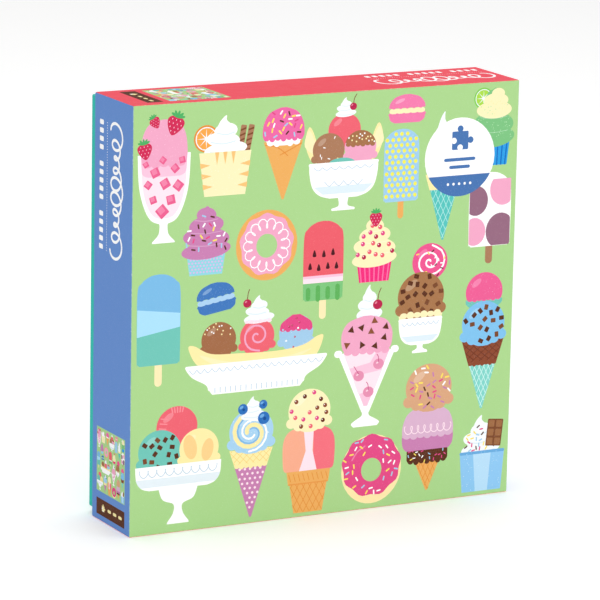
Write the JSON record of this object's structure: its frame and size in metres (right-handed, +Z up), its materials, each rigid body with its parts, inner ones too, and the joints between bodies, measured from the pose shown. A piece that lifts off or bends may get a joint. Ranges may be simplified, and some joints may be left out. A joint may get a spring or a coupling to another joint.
{
  "type": "boxed jigsaw puzzle",
  "caption": "Square set-up box standing on edge: printed lid slipped over a tray that holds a bag of die-cut puzzle pieces and a folded leaflet.",
  "frame": {"origin": "middle of the box's footprint rectangle, on the surface that it stands on", "axes": "+X to the right as the printed lid is seen, +Y from the printed lid to the tray's back, +Z up"},
  "size_m": [0.2032, 0.0508, 0.2032],
  "materials": {
    "lid_print": "printed and matt laminated",
    "tray_print": "printed and matt laminated",
    "greyboard": "bare grey board",
    "kraft_tape": "gummed kraft paper",
    "bag_film": "clear film",
    "puzzle_card": "printed on one side, die-cut",
    "leaflet_paper": "uncoated, printed"
  },
  "bodies": {
    "tray": {"tray_wrap": "tray_print", "tray_board": "greyboard", "tray_corner_tape_top_right": "kraft_tape", "tray_corner_tape_bottom_right": "kraft_tape", "tray_corner_tape_bottom_left": "kraft_tape", "tray_corner_tape_top_left": "kraft_tape"},
    "lid": {"lid_wrap": "lid_print", "lid_board": "greyboard", "lid_corner_tape_top_right": "kraft_tape", "lid_corner_tape_bottom_right": "kraft_tape", "lid_corner_tape_bottom_left": "kraft_tape", "lid_corner_tape_top_left": "kraft_tape"},
    "contents": {"piece_bag": "bag_film", "piece_heap": "puzzle_card", "puzzle_piece_01": "puzzle_card", "puzzle_piece_02": "puzzle_card", "puzzle_piece_03": "puzzle_card", "puzzle_piece_04": "puzzle_card", "puzzle_piece_05": "puzzle_card", "puzzle_piece_06": "puzzle_card", "puzzle_piece_07": "puzzle_card", "puzzle_piece_08": "puzzle_card", "puzzle_piece_09": "puzzle_card", "puzzle_piece_10": "puzzle_card", "puzzle_piece_11": "puzzle_card", "puzzle_piece_12": "puzzle_card", "puzzle_piece_13": "puzzle_card", "puzzle_piece_14": "puzzle_card", "puzzle_piece_15": "puzzle_card", "puzzle_piece_16": "puzzle_card", "puzzle_piece_17": "puzzle_card", "puzzle_piece_18": "puzzle_card", "puzzle_piece_19": "puzzle_card", "puzzle_piece_20": "puzzle_card", "leaflet": "leaflet_paper"}
  },
  "joints": [
    {"name": "lid_slide", "type": "slide", "parent": "tray", "child": "lid", "axis": [0, -1, 0], "range_m": [0, 0.09]},
    {"name": "contents_shift", "type": "slide", "parent": "tray", "child": "contents", "axis": [0, -1, 0], "range_m": [0, 0.0055]}
  ]
}
